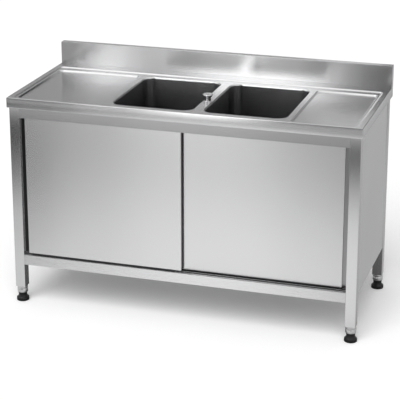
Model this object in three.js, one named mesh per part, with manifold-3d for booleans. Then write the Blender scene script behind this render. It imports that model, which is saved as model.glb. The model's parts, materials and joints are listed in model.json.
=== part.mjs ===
// A free-standing stainless-steel sink cabinet: a pressed worktop with two bowls between two
// drainboards, an upstand at the back, a frame of four square legs on adjustable feet, fixed
// panels, and two doors that slide past each other on rollers.
// Millimetres, +Z up, +X to the right, the doors face -Y. The origin is on the floor, under the
// middle of the worktop.
import * as THREE from "three";
import { mergeVertices } from "three/addons/utils/BufferGeometryUtils.js";
import Module from "manifold-3d";

const wasm = await Module();
wasm.setup();

// ---- driving dimensions ----

// The whole unit
const unitWidth = 1400;
const unitDepth = 600;
const worktopHeight = 850;

// Sheets, and the gap between pieces that touch
const topSheet = 1.5;
const panelSheet = 1.2;
const seatGap = 0.3;

// Worktop: a folded edge all round, a raised rim, and a field pressed in below the rim
const fasciaHeight = 40;
const fasciaHem = 6;
const rimFrontWidth = 12;
const rimSideWidth = 20;
const rimSlopeRun = 12;
const rearLedgeWidth = 60;
const fieldDrop = 4;
const fieldCornerRadius = 18;

// Upstand at the back
const upstandHeight = 90;
const upstandThickness = 30;
const upstandHem = 15;

// Bowls, side by side
const bowlWidth = 320;
const bowlLength = 420;
const bowlDepth = 250;
const bowlCornerRadius = 40;
const bowlFloorRadius = 30;
const bowlFrontMargin = 50;
const bowlLipRadius = 6;
const bowlFrameWidth = 8;
const dividerWidth = 45;
const bowlPairOffset = 55;

// Drainboards
const drainboardDrop = 10;
const drainboardSlopeRun = 10;
const drainboardFieldMargin = 2;
const drainboardLength = 448;
const drainboardCornerRadius = 16;
const leftBowlBorder = 30;
const rightBowlBorder = 24;

// Cover of the tap hole, on the strip between the bowls
const tapCapDiameter = 38;
const tapCapHeight = 29;
const tapCapEdge = 2.5;
const tapCapHeadHeight = 9;
const tapCapStemDiameter = 25;
const tapCapSetback = 195;
const tapStudDiameter = 10;
const tapStudLength = 26;
const tapHoleClearance = 1;
const tapWasherDiameter = 34;
const tapWasherThickness = 2;
const tapNutAcross = 19;
const tapNutHeight = 8;

// Legs and feet
const legSize = 40;
const legWall = 1.5;
const legSideInset = 8;
const legFrontInset = 8;
const legRearInset = 10;
const legBottomHeight = 62;
const sleeveDiameter = 42;
const sleeveHeight = 26;
const sleevePlugHeight = 30;
const footStemDiameter = 20;
const footBaseDiameter = 50;
const footBaseHeight = 14;
const footEdge = 2;
const footNeckDiameter = 34;
const footStemEngagement = 50;
const footTravel = 25;

// Rails of the frame
const topRailDrop = 80;
const topRailWidth = 38;
const bottomRailBottom = 160;
const bottomRailHeight = 40;
const bottomRailWidth = 42;
const bottomRailReturn = 20;

// Fixed panels and the bottom shelf
const sidePanelInset = 2;
const sidePanelRise = 21;
const sidePanelFlange = 30;
const backPanelDrop = 60;
const backPanelFlange = 15;
const pipeWindowWidth = 200;
const pipeWindowHeight = 130;
const shelfStiffenerWidth = 60;
const shelfStiffenerHeight = 16;
const shelfStiffenerBrim = 20;
const topStiffenerWidth = 50;
const topStiffenerHeight = 24;
const topStiffenerBrim = 15;

// Sliding doors
const doorThickness = 14.5;
const doorGap = 6;
const doorOverlap = 10;
const doorTopDrop = 50;
const doorFloorGap = 9.5;
const doorEndGap = 1;
const doorRailClearance = 1.8;
const gripWidth = 20;
const gripDepth = 9;

// Rollers, hangers and tracks
const rollerDiameter = 16;
const rollerWidth = 4;
const rollerGroove = 0.8;
const axleDiameter = 4;
const hangerLength = 44;
const hangerSheet = 1.5;
const hangerInset = 80;
const hangerSideGap = 1.3;
const trackWall = 1.5;
const trackTopPlate = 2;
const trackHeadroom = 1.2;
const guidePlate = 1.2;
const guideRibHeight = 6.5;
const guideRibThickness = 1.6;
const shoeWidth = 9;
const shoeSlotClearance = 0.6;
const shoeFloorGap = 1.4;
const shoeEndInset = 30;

// Waste fittings and drain pipes
const wasteHoleDiameter = 46;
const wasteFlangeDiameter = 76;
const wasteFlangeThickness = 2;
const wasteNeckDiameter = 44;
const wasteNeckLength = 40;
const wasteBoreDiameter = 36;
const overflowHeight = 155;
const overflowDiameter = 32;
const overflowWall = 2;
const overflowPlugLength = 12;
const overflowPlugTaper = 1;
const overflowCollarDiameter = 44;
const overflowCollarHeight = 3.5;
const overflowRimHeight = 5;
const pipeDiameter = 48;
const pipeWall = 3;
const collarDiameter = 62;
const collarHeight = 22;
const crossPipeDrop = 118;
const pipeBendRadius = 42;
const teeLength = 180;
const trapDiameter = 84;
const trapHeight = 96;
const trapWall = 3;
const trapChamfer = 10;
const trapSocketHeight = 22;
const outletDiameter = 40;
const outletRearInset = 4;
const pipeSocketDepth = 20;

// How far a cutting solid runs past what it cuts, and a joined one runs into it
const overcut = 1;
const overlap = 0.5;

// ---- planes and centres that follow from them ----

const halfWidth = unitWidth / 2;
const frontFace = -unitDepth / 2;
const rearFace = unitDepth / 2;
const fieldLevel = worktopHeight - fieldDrop;
const drainboardLevel = worktopHeight - drainboardDrop;
const frameTop = drainboardLevel - topSheet - seatGap;
const topRailBottom = worktopHeight - topRailDrop;
const bottomRailTop = bottomRailBottom + bottomRailHeight;
const sidePanelBottom = bottomRailBottom + sidePanelRise;
const backPanelTop = worktopHeight - backPanelDrop;

const bowlStep = (bowlWidth + dividerWidth) / 2;
const bowlLeftCentre = bowlPairOffset - bowlStep;
const bowlRightCentre = bowlPairOffset + bowlStep;
const bowlFront = frontFace + bowlFrontMargin;
const bowlMiddle = bowlFront + bowlLength / 2;
const bowlFloor = worktopHeight - bowlDepth;
const lipBottom = fieldLevel - bowlLipRadius;

const fieldFront = frontFace + rimFrontWidth;
const fieldBack = rearFace - upstandThickness - rearLedgeWidth;
const fieldHalfWidth = halfWidth - rimSideWidth;

const legOuterX = halfWidth - legSideInset;
const legInnerX = legOuterX - legSize;
const legFrontY = frontFace + legFrontInset;
const legRearY = rearFace - legRearInset;
const frontLegBackY = legFrontY + legSize;
const rearLegFrontY = legRearY - legSize;
const railHalfLength = legInnerX - seatGap;

const doorFrontY = legFrontY + panelSheet + doorRailClearance;
const doorPitch = doorThickness + doorGap;
const doorWidth = legInnerX - doorEndGap + doorOverlap / 2;
const railWebBottom = frameTop - panelSheet;
const trackTop = railWebBottom - seatGap;
const axleHeight = trackTop - trackTopPlate - trackHeadroom - rollerDiameter / 2;
const ledgeTop = axleHeight - rollerDiameter / 2 - seatGap;
const guidePlateTop = bottomRailTop + seatGap + guidePlate;
const doorTop = worktopHeight - doorTopDrop;
const doorBottom = guidePlateTop + doorFloorGap;

const steelColour = 0xc4c6c8;
const satinColour = 0xb4b6b9;
const chromeColour = 0xdfe2e5;
const plasticColour = 0x1c1d1f;
const nylonColour = 0xe6e4dc;
const pipeColour = 0xd9dadb;
const coreColour = 0xd8c9a6;

// ---- solids ----

// The signed volume tells whether the faces point outwards; where they don't, each is turned.
function facingOut(geometry) {
  const bare = geometry.index ? geometry.toNonIndexed() : geometry.clone();
  const position = bare.getAttribute("position");
  const a = new THREE.Vector3();
  const b = new THREE.Vector3();
  const c = new THREE.Vector3();
  let sixVolumes = 0;
  for (let i = 0; i < position.count; i += 3) {
    a.fromBufferAttribute(position, i);
    b.fromBufferAttribute(position, i + 1);
    c.fromBufferAttribute(position, i + 2);
    sixVolumes += a.dot(b.cross(c));
  }
  const merged = mergeVertices(new THREE.BufferGeometry().setAttribute("position", position), 1e-4);
  if (sixVolumes < 0) {
    const index = merged.index.array;
    for (let i = 0; i < index.length; i += 3) {
      [index[i + 1], index[i + 2]] = [index[i + 2], index[i + 1]];
    }
  }
  return merged;
}

function solid(geometry) {
  const closed = facingOut(geometry);
  const triVerts = new Uint32Array(closed.index.array);
  const vertProperties = closed.getAttribute("position").array;
  return new wasm.Manifold(new wasm.Mesh({ numProp: 3, vertProperties, triVerts }));
}

function joined(...solids) {
  return solids.reduce((sum, next) => sum.add(next));
}

function cut(from, ...tools) {
  return tools.reduce((left, tool) => left.subtract(tool), from);
}

function block(x0, x1, y0, y1, z0, z1) {
  const geometry = new THREE.BoxGeometry(x1 - x0, y1 - y0, z1 - z0);
  return solid(geometry.translate((x0 + x1) / 2, (y0 + y1) / 2, (z0 + z1) / 2));
}

function outline(points) {
  return new THREE.Shape(points.map(([u, v]) => new THREE.Vector2(u, v)));
}

// An upright prism over a plan outline of [x, y] points
function upright(points, z0, z1) {
  const geometry = new THREE.ExtrudeGeometry(outline(points), { depth: z1 - z0, bevelEnabled: false });
  return solid(geometry.translate(0, 0, z0));
}

// A bar along X with a section of [y, z] points
function barAlongX(points, x0, x1) {
  const geometry = new THREE.ExtrudeGeometry(outline(points), { depth: x1 - x0, bevelEnabled: false });
  const turn = new THREE.Matrix4().set(0, 0, 1, x0, 1, 0, 0, 0, 0, 1, 0, 0, 0, 0, 0, 1);
  return solid(geometry.applyMatrix4(turn));
}

// A bar along Y with a section of [x, z] points
function barAlongY(points, y0, y1) {
  const geometry = new THREE.ExtrudeGeometry(outline(points), { depth: y1 - y0, bevelEnabled: false });
  return solid(geometry.rotateX(Math.PI / 2).translate(0, y1, 0));
}

// A turned piece on a vertical axis at x, y, from [radius, z] points that start and end on the axis
function turned(points, x, y, segments = 32) {
  const profile = points.map(([radius, z]) => new THREE.Vector2(radius, z));
  const geometry = new THREE.LatheGeometry(profile, segments);
  return solid(geometry.rotateX(Math.PI / 2).translate(x, y, 0));
}

function rod(radius, x, y, z0, z1, segments = 32) {
  const profile = [
    [0, z0],
    [radius, z0],
    [radius, z1],
    [0, z1],
  ];
  return turned(profile, x, y, segments);
}

function rodAlongX(radius, x0, x1, y, z, segments = 24) {
  const geometry = new THREE.CylinderGeometry(radius, radius, x1 - x0, segments);
  return solid(geometry.rotateZ(Math.PI / 2).translate((x0 + x1) / 2, y, z));
}

function rodAlongY(radius, x, y0, y1, z, segments = 24) {
  const geometry = new THREE.CylinderGeometry(radius, radius, y1 - y0, segments);
  return solid(geometry.translate(x, (y0 + y1) / 2, z));
}

// A solid through rounded rectangles, one above the other: { z, x0, x1, y0, y1, radius }
function stacked(levels, cornerSteps = 5) {
  const rings = levels.map((level) => {
    const ring = [];
    const corners = [
      [level.x1 - level.radius, level.y1 - level.radius, 0],
      [level.x0 + level.radius, level.y1 - level.radius, 1],
      [level.x0 + level.radius, level.y0 + level.radius, 2],
      [level.x1 - level.radius, level.y0 + level.radius, 3],
    ];
    for (const [cx, cy, quarter] of corners) {
      for (let i = 0; i <= cornerSteps; i++) {
        const angle = (quarter + i / cornerSteps) * (Math.PI / 2);
        ring.push([cx + level.radius * Math.cos(angle), cy + level.radius * Math.sin(angle), level.z]);
      }
    }
    return ring;
  });
  const around = rings[0].length;
  const positions = rings.flat(2);
  const index = [];
  for (let k = 0; k + 1 < rings.length; k++) {
    for (let i = 0; i < around; i++) {
      const next = (i + 1) % around;
      const low = k * around;
      const high = low + around;
      index.push(low + i, low + next, high + next, low + i, high + next, high + i);
    }
  }
  const last = (rings.length - 1) * around;
  for (let i = 1; i + 1 < around; i++) {
    index.push(0, i + 1, i, last, last + i, last + i + 1);
  }
  const geometry = new THREE.BufferGeometry();
  geometry.setAttribute("position", new THREE.Float32BufferAttribute(positions, 3));
  geometry.setIndex(index);
  return solid(geometry);
}

function level(z, x0, x1, y0, y1, radius) {
  return { z, x0, x1, y0, y1, radius };
}

function grown(rectangle, by, z = rectangle.z) {
  const radius = rectangle.radius + by;
  return level(z, rectangle.x0 - by, rectangle.x1 + by, rectangle.y0 - by, rectangle.y1 + by, radius);
}

// A tube of round section along a curve
function hose(curve, radius, steps, sides = 20) {
  const section = new THREE.Shape();
  for (let i = 0; i < sides; i++) {
    const angle = (i / sides) * Math.PI * 2;
    const place = [radius * Math.cos(angle), radius * Math.sin(angle)];
    if (i === 0) section.moveTo(...place);
    else section.lineTo(...place);
  }
  return solid(new THREE.ExtrudeGeometry(section, { steps, extrudePath: curve, bevelEnabled: false }));
}

const part = new THREE.Group();

function add(name, shape, color, roughness = 0.35, metalness = 1) {
  const { vertProperties, triVerts } = shape.getMesh();
  const geometry = new THREE.BufferGeometry();
  geometry.setAttribute("position", new THREE.BufferAttribute(vertProperties, 3));
  geometry.setIndex(new THREE.BufferAttribute(triVerts, 1));
  geometry.computeVertexNormals();
  const mesh = new THREE.Mesh(geometry, new THREE.MeshStandardMaterial({ color, roughness, metalness }));
  mesh.name = name;
  part.add(mesh);
}

// ---- worktop, upstand and drainboards ----

function bowlRectangle(centre, z, grow = 0) {
  const half = bowlWidth / 2;
  const inner = level(z, centre - half, centre + half, bowlFront, bowlFront + bowlLength, bowlCornerRadius);
  return grown(inner, grow, z);
}

function drainboardRectangle(side) {
  const field = fieldHalfWidth - rimSlopeRun - drainboardFieldMargin;
  const front = fieldFront + rimSlopeRun + drainboardFieldMargin;
  const back = front + drainboardLength;
  const pairHalf = bowlWidth + dividerWidth / 2;
  const leftEdge = bowlPairOffset - pairHalf - leftBowlBorder;
  const rightEdge = bowlPairOffset + pairHalf + rightBowlBorder;
  if (side < 0) return level(fieldLevel, -field, leftEdge, front, back, drainboardCornerRadius);
  return level(fieldLevel, rightEdge, field, front, back, drainboardCornerRadius);
}

// The edge of a bowl opening rolls over in a quarter round, at this distance from the sheet's upper side
function lipLevels(centre, offset) {
  const steps = 4;
  const radius = bowlLipRadius - offset;
  const levels = [];
  for (let i = 0; i <= steps; i++) {
    const angle = (i / steps) * (Math.PI / 2);
    const outwards = bowlLipRadius - radius * Math.cos(angle);
    levels.push(bowlRectangle(centre, lipBottom + radius * Math.sin(angle), outwards));
  }
  return levels;
}

function bowlOpening(centre) {
  const below = bowlRectangle(centre, lipBottom - overcut);
  const above = bowlRectangle(centre, worktopHeight, bowlLipRadius);
  return stacked([below, ...lipLevels(centre, 0), above]);
}

function bowlLip(centre) {
  const rooted = bowlRectangle(centre, fieldLevel - topSheet / 2, bowlLipRadius + overcut);
  return stacked([...lipLevels(centre, topSheet), rooted]);
}

// The outer edge of the frame that is welded into the worktop round both bowls
function bowlFrameRectangle(z, clearance = 0) {
  const width = bowlLipRadius + bowlFrameWidth + clearance;
  const left = bowlRectangle(bowlLeftCentre, z, width);
  const right = bowlRectangle(bowlRightCentre, z, width);
  return level(z, left.x0, right.x1, left.y0, left.y1, left.radius);
}

function tapHoleY() {
  return frontFace + tapCapSetback;
}

function makeWorktop() {
  const under = worktopHeight - fasciaHeight;
  const slab = block(-halfWidth, halfWidth, frontFace, rearFace, under, worktopHeight);
  const insideX = halfWidth - topSheet;
  const hemX = halfWidth - fasciaHem;
  const cavity = block(
    -insideX,
    insideX,
    frontFace + topSheet,
    rearFace - topSheet,
    under + topSheet,
    worktopHeight - topSheet,
  );
  const mouthFront = frontFace + fasciaHem;
  const mouthRear = rearFace - fasciaHem;
  const mouthTop = under + topSheet + overcut;
  const mouth = block(-hemX, hemX, mouthFront, mouthRear, under - overcut, mouthTop);
  const rimX = fieldHalfWidth;
  const rimInner = level(worktopHeight, -rimX, rimX, fieldFront, fieldBack, fieldCornerRadius);
  const fieldEdge = grown(rimInner, -rimSlopeRun, fieldLevel);
  const pressing = stacked([
    grown(fieldEdge, 1, fieldLevel - topSheet),
    grown(rimInner, 1, worktopHeight - topSheet / 2),
  ]);
  const hollow = stacked([fieldEdge, rimInner, grown(rimInner, 0, worktopHeight + overcut)]);
  const edges = [bowlFrameRectangle(fieldLevel, seatGap), drainboardRectangle(-1), drainboardRectangle(1)];
  const openings = edges.map((edge) => {
    const lower = grown(edge, 0, fieldLevel - 2 * topSheet);
    const upper = grown(edge, 0, fieldLevel + overcut);
    return stacked([lower, upper]);
  });
  const shell = cut(slab, cavity, mouth);
  return cut(joined(shell, pressing), hollow, ...openings);
}

function makeBowlFrame() {
  const plate = stacked([bowlFrameRectangle(fieldLevel - topSheet), bowlFrameRectangle(fieldLevel)]);
  const lipped = joined(plate, bowlLip(bowlLeftCentre), bowlLip(bowlRightCentre));
  const tapRadius = tapStudDiameter / 2 + tapHoleClearance;
  const tapBottom = fieldLevel - topSheet - overcut;
  const tapHole = rod(tapRadius, bowlPairOffset, tapHoleY(), tapBottom, fieldLevel + overcut, 16);
  return cut(lipped, bowlOpening(bowlLeftCentre), bowlOpening(bowlRightCentre), tapHole);
}

function makeDrainboard(side) {
  const edge = grown(drainboardRectangle(side), -seatGap);
  const floor = grown(edge, -drainboardSlopeRun, drainboardLevel);
  const outer = stacked([
    grown(floor, overlap, drainboardLevel - topSheet),
    grown(edge, 0, fieldLevel - topSheet),
    edge,
  ]);
  const mouth = grown(edge, -topSheet);
  const inner = stacked([grown(floor, -topSheet), mouth, grown(mouth, 0, fieldLevel + 1)]);
  return cut(outer, inner);
}

function makeUpstand() {
  const bottom = worktopHeight + seatGap;
  const top = worktopHeight + upstandHeight;
  const front = rearFace - upstandThickness;
  const whole = block(-halfWidth, halfWidth, front, rearFace, bottom, top);
  const insideX = halfWidth - topSheet;
  const insideFront = front + topSheet;
  const insideRear = rearFace - topSheet;
  const below = bottom - overcut;
  const inside = block(-insideX, insideX, insideFront, insideRear, below, top - topSheet);
  const behindFront = insideRear - topSheet;
  const behind = block(-insideX, insideX, behindFront, rearFace + overcut, below, top - upstandHem);
  return cut(whole, inside, behind);
}

// ---- bowls, wastes and pipes ----

// A shell with rounded upright corners and a rounded floor edge
function bowlBody(centre, grow, top) {
  const steps = 5;
  const radius = bowlFloorRadius + grow;
  const bottom = bowlFloor - grow;
  const levels = [];
  for (let i = 0; i <= steps; i++) {
    const angle = (i / steps) * (Math.PI / 2);
    const z = bottom + radius * (1 - Math.cos(angle));
    levels.push(bowlRectangle(centre, z, grow - radius * (1 - Math.sin(angle))));
  }
  levels.push(bowlRectangle(centre, top, grow));
  return stacked(levels);
}

function makeBowl(centre) {
  const top = lipBottom - seatGap;
  const outer = bowlBody(centre, topSheet, top);
  const inner = bowlBody(centre, 0, top + overcut);
  const holeBottom = bowlFloor - topSheet - overcut;
  const hole = rod(wasteHoleDiameter / 2, centre, bowlMiddle, holeBottom, bowlFloor + overcut);
  return cut(outer, inner, hole);
}

function makeWasteSeat(centre) {
  const flangeBottom = bowlFloor + seatGap;
  const flangeTop = flangeBottom + wasteFlangeThickness;
  const neckBottom = flangeBottom - wasteNeckLength;
  const body = turned(
    [
      [0, neckBottom],
      [wasteNeckDiameter / 2, neckBottom],
      [wasteNeckDiameter / 2, flangeBottom],
      [wasteFlangeDiameter / 2, flangeBottom],
      [wasteFlangeDiameter / 2 - wasteFlangeThickness, flangeTop],
      [0, flangeTop],
    ],
    centre,
    bowlMiddle,
  );
  const boreRadius = wasteBoreDiameter / 2;
  const bore = rod(boreRadius, centre, bowlMiddle, neckBottom - overcut, flangeTop + overcut);
  return cut(body, bore);
}

// A stand pipe that plugs the waste and sets the water level; it lifts out
function makeOverflow(centre) {
  const seat = bowlFloor + 2 * seatGap + wasteFlangeThickness;
  const plugRadius = wasteBoreDiameter / 2 - seatGap;
  const rimRadius = overflowDiameter / 2 + overflowWall;
  const top = seat + overflowHeight;
  const body = turned(
    [
      [0, seat - overflowPlugLength],
      [plugRadius - overflowPlugTaper, seat - overflowPlugLength],
      [plugRadius, seat],
      [overflowCollarDiameter / 2, seat],
      [overflowCollarDiameter / 2, seat + overflowCollarHeight],
      [overflowDiameter / 2, seat + overflowCollarHeight],
      [overflowDiameter / 2, top - overflowRimHeight],
      [rimRadius, top - overflowRimHeight],
      [rimRadius, top],
      [0, top],
    ],
    centre,
    bowlMiddle,
  );
  const bore = overflowDiameter / 2 - overflowWall;
  return cut(body, rod(bore, centre, bowlMiddle, seat - overflowPlugLength - overcut, top + overcut));
}

function collarTop() {
  return bowlFloor - topSheet - seatGap;
}

function neckSocket(centre) {
  const radius = wasteNeckDiameter / 2 + seatGap;
  const bottom = bowlFloor + seatGap - wasteNeckLength - seatGap;
  return rod(radius, centre, bowlMiddle, bottom, collarTop() + overcut, 24);
}

// The left waste runs down, bends, and crosses to the tee under the right waste
function makeCrossPipe() {
  const centre = bowlLeftCentre;
  const crossZ = collarTop() - crossPipeDrop;
  const start = new THREE.Vector3(centre, bowlMiddle, collarTop() - collarHeight / 2);
  const bendTop = new THREE.Vector3(centre, bowlMiddle, crossZ + pipeBendRadius);
  const corner = new THREE.Vector3(centre, bowlMiddle, crossZ);
  const bendEnd = new THREE.Vector3(centre + pipeBendRadius, bowlMiddle, crossZ);
  const end = new THREE.Vector3(bowlRightCentre - collarDiameter / 2 - seatGap, bowlMiddle, crossZ);
  const route = new THREE.CurvePath();
  route.add(new THREE.LineCurve3(start, bendTop));
  route.add(new THREE.QuadraticBezierCurve3(bendTop, corner, bendEnd));
  route.add(new THREE.LineCurve3(bendEnd, end));
  const steps = 36;
  const bore = pipeDiameter / 2 - pipeWall;
  const outer = hose(route, pipeDiameter / 2, steps);
  const inner = hose(route, bore, steps);
  const collar = rod(collarDiameter / 2, centre, bowlMiddle, collarTop() - collarHeight, collarTop(), 12);
  const ends = rodAlongX(bore, end.x - overcut, end.x + overcut, bowlMiddle, crossZ, 20);
  const upper = rod(bore, centre, bowlMiddle, start.z - overcut, start.z + overcut, 20);
  return cut(joined(outer, collar), inner, neckSocket(centre), ends, upper);
}

function makeTee() {
  const centre = bowlRightCentre;
  const bottom = collarTop() - teeLength;
  const crossZ = collarTop() - crossPipeDrop;
  const bore = pipeDiameter / 2 - pipeWall;
  const inletEnd = centre - collarDiameter / 2 - pipeSocketDepth;
  const pipe = rod(pipeDiameter / 2, centre, bowlMiddle, bottom, collarTop() - collarHeight / 2, 24);
  const collar = rod(collarDiameter / 2, centre, bowlMiddle, collarTop() - collarHeight, collarTop(), 12);
  const inletRoot = centre - pipeDiameter / 2 + pipeWall;
  const inlet = rodAlongX(collarDiameter / 2, inletEnd, inletRoot, bowlMiddle, crossZ, 12);
  const socketEnd = centre - collarDiameter / 2;
  const socket = rodAlongX(pipeDiameter / 2 + seatGap, inletEnd - overcut, socketEnd, bowlMiddle, crossZ);
  const through = rodAlongX(bore, inletEnd, centre, bowlMiddle, crossZ);
  const down = rod(bore, centre, bowlMiddle, bottom - overcut, collarTop() + overcut, 24);
  return cut(joined(pipe, collar, inlet), down, neckSocket(centre), socket, through);
}

function trapTop() {
  return collarTop() - teeLength + trapSocketHeight;
}

function outletZ() {
  return trapTop() - trapSocketHeight - outletDiameter / 2 - trapWall;
}

function makeTrap() {
  const centre = bowlRightCentre;
  const bottom = trapTop() - trapSocketHeight - trapHeight;
  const socketRadius = pipeDiameter / 2 + seatGap;
  const body = turned(
    [
      [0, bottom],
      [trapDiameter / 2 - trapChamfer, bottom],
      [trapDiameter / 2, bottom + trapChamfer],
      [trapDiameter / 2, trapTop() - trapSocketHeight],
      [collarDiameter / 2, trapTop() - trapSocketHeight],
      [collarDiameter / 2, trapTop()],
      [0, trapTop()],
    ],
    centre,
    bowlMiddle,
  );
  const neckY = bowlMiddle + trapDiameter / 2 + pipeSocketDepth;
  const neck = rodAlongY(outletDiameter / 2 + trapWall + seatGap, centre, bowlMiddle, neckY, outletZ());
  const inside = trapDiameter / 2 - trapWall;
  const chamberTop = trapTop() - trapSocketHeight - trapWall;
  const chamber = turned(
    [
      [0, bottom + trapWall],
      [inside - trapChamfer, bottom + trapWall],
      [inside, bottom + trapWall + trapChamfer],
      [inside, chamberTop],
      [0, chamberTop],
    ],
    centre,
    bowlMiddle,
  );
  const inlet = rod(socketRadius, centre, bowlMiddle, bottom + trapHeight / 2, trapTop() + overcut, 24);
  const outlet = rodAlongY(outletDiameter / 2 + seatGap, centre, bowlMiddle, neckY + overcut, outletZ());
  return cut(joined(body, neck), chamber, inlet, outlet);
}

function makeOutletPipe() {
  const start = bowlMiddle + trapDiameter / 2;
  const end = rearFace - outletRearInset;
  const pipe = rodAlongY(outletDiameter / 2, bowlRightCentre, start, end, outletZ());
  const boreRadius = outletDiameter / 2 - pipeWall;
  const bore = rodAlongY(boreRadius, bowlRightCentre, start - overcut, end + overcut, outletZ());
  return cut(pipe, bore);
}

// ---- tap hole cover ----

function makeTapCap() {
  const bottom = fieldLevel + seatGap;
  const top = bottom + tapCapHeight;
  const radius = tapCapDiameter / 2;
  const stem = tapCapStemDiameter / 2;
  const stud = tapStudDiameter / 2;
  return turned(
    [
      [0, fieldLevel - tapStudLength],
      [stud, fieldLevel - tapStudLength],
      [stud, bottom],
      [stem, bottom],
      [stem, top - tapCapHeadHeight],
      [radius, top - tapCapHeadHeight],
      [radius, top - tapCapEdge],
      [radius - tapCapEdge / 3, top - tapCapEdge / 3],
      [radius - tapCapEdge, top],
      [0, top],
    ],
    bowlPairOffset,
    tapHoleY(),
    40,
  );
}

function makeTapNut() {
  const top = fieldLevel - topSheet - seatGap;
  const washerBottom = top - tapWasherThickness;
  const washer = rod(tapWasherDiameter / 2, bowlPairOffset, tapHoleY(), washerBottom, top, 24);
  const hexRadius = tapNutAcross / Math.sqrt(3);
  const nutBottom = washerBottom - tapNutHeight;
  const nut = rod(hexRadius, bowlPairOffset, tapHoleY(), nutBottom, washerBottom + overlap, 6);
  const boreRadius = tapStudDiameter / 2 + seatGap;
  const bore = rod(boreRadius, bowlPairOffset, tapHoleY(), nutBottom - overcut, top + overcut, 24);
  return cut(joined(washer, nut), bore);
}

// ---- legs, sleeves and feet ----

function legPlace(side, end) {
  const x0 = side < 0 ? -legOuterX : legInnerX;
  const y0 = end < 0 ? legFrontY : rearLegFrontY;
  return { x0, y0, x: x0 + legSize / 2, y: y0 + legSize / 2 };
}

function makeLeg(side, end) {
  const { x0, y0 } = legPlace(side, end);
  const tube = block(x0, x0 + legSize, y0, y0 + legSize, legBottomHeight, frameTop);
  const inner = legSize - legWall;
  const low = legBottomHeight - overcut;
  const high = frameTop + overcut;
  const hollow = block(x0 + legWall, x0 + inner, y0 + legWall, y0 + inner, low, high);
  return cut(tube, hollow);
}

function makeSleeve(side, end) {
  const { x, y } = legPlace(side, end);
  const top = legBottomHeight - seatGap;
  const bottom = top - sleeveHeight;
  const ring = rod(sleeveDiameter / 2, x, y, bottom, top);
  const half = legSize / 2 - legWall - seatGap;
  const plugTop = top + sleevePlugHeight;
  const plug = block(x - half, x + half, y - half, y + half, top - overlap, plugTop);
  const boreRadius = footStemDiameter / 2 + seatGap;
  const bore = rod(boreRadius, x, y, bottom - overcut, plugTop + overcut, 24);
  return cut(joined(ring, plug), bore);
}

function makeFoot(side, end) {
  const { x, y } = legPlace(side, end);
  const neckTop = legBottomHeight - sleeveHeight - 2 * seatGap;
  const base = footBaseDiameter / 2;
  return turned(
    [
      [0, 0],
      [base - footEdge, 0],
      [base, footEdge],
      [base, footBaseHeight - footEdge],
      [base - footEdge, footBaseHeight],
      [footNeckDiameter / 2, footBaseHeight + (neckTop - footBaseHeight) / 2],
      [footNeckDiameter / 2, neckTop],
      [footStemDiameter / 2, neckTop],
      [footStemDiameter / 2, neckTop + footStemEngagement],
      [0, neckTop + footStemEngagement],
    ],
    x,
    y,
    28,
  );
}

// ---- rails ----

function makeFrontTopRail() {
  const y0 = legFrontY;
  const y1 = y0 + topRailWidth;
  const section = [
    [y0, topRailBottom],
    [y0 + panelSheet, topRailBottom],
    [y0 + panelSheet, railWebBottom],
    [y1, railWebBottom],
    [y1, frameTop],
    [y0, frameTop],
  ];
  return barAlongX(section, -railHalfLength, railHalfLength);
}

function makeRearTopRail() {
  const y1 = legRearY;
  const y0 = y1 - topRailWidth;
  const section = [
    [y1, topRailBottom],
    [y1, frameTop],
    [y0, frameTop],
    [y0, railWebBottom],
    [y1 - panelSheet, railWebBottom],
    [y1 - panelSheet, topRailBottom],
  ];
  return barAlongX(section, -railHalfLength, railHalfLength);
}

function makeSideTopRail(side) {
  const inner = legInnerX;
  const outer = legOuterX - sidePanelInset - panelSheet - seatGap;
  const drop = legSize;
  const section = [
    [inner, frameTop - drop],
    [inner + panelSheet, frameTop - drop],
    [inner + panelSheet, railWebBottom],
    [outer, railWebBottom],
    [outer, frameTop],
    [inner, frameTop],
  ].map(([x, z]) => [side * x, z]);
  return barAlongY(section, frontLegBackY + seatGap, rearLegFrontY - seatGap);
}

function makeBottomRail(end) {
  const outer = end < 0 ? legFrontY : legRearY;
  const inward = -end;
  const section = [
    [0, bottomRailBottom],
    [bottomRailReturn, bottomRailBottom],
    [bottomRailReturn, bottomRailBottom + panelSheet],
    [panelSheet, bottomRailBottom + panelSheet],
    [panelSheet, bottomRailTop - panelSheet],
    [end < 0 ? bottomRailWidth : legSize, bottomRailTop - panelSheet],
    [end < 0 ? bottomRailWidth : legSize, bottomRailTop],
    [0, bottomRailTop],
  ].map(([depth, z]) => [outer + inward * depth, z]);
  return barAlongX(section, -railHalfLength, railHalfLength);
}

// A hat section: a raised channel with a brim on both sides, open downwards or upwards
function hatSection(middle, seat, width, height, brim, up) {
  const outerHalf = width / 2;
  const innerHalf = outerHalf - panelSheet;
  const points = [
    [-outerHalf - brim, 0],
    [-innerHalf, 0],
    [-innerHalf, height - panelSheet],
    [innerHalf, height - panelSheet],
    [innerHalf, 0],
    [outerHalf + brim, 0],
    [outerHalf + brim, panelSheet],
    [outerHalf, panelSheet],
    [outerHalf, height],
    [-outerHalf, height],
    [-outerHalf, panelSheet],
    [-outerHalf - brim, panelSheet],
  ];
  return points.map(([across, rise]) => [middle + across, seat + up * rise]);
}

// ---- fixed panels and the shelf ----

function makeSidePanel(side) {
  const outer = legOuterX - sidePanelInset;
  const top = railWebBottom - seatGap;
  const section = [
    [outer, sidePanelBottom],
    [outer, top],
    [outer - sidePanelFlange, top],
    [outer - sidePanelFlange, top - panelSheet],
    [outer - panelSheet, top - panelSheet],
    [outer - panelSheet, sidePanelBottom + panelSheet],
    [outer - sidePanelFlange, sidePanelBottom + panelSheet],
    [outer - sidePanelFlange, sidePanelBottom],
  ].map(([x, z]) => [side * x, z]);
  return barAlongY(section, frontLegBackY + seatGap, rearLegFrontY - seatGap);
}

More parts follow.
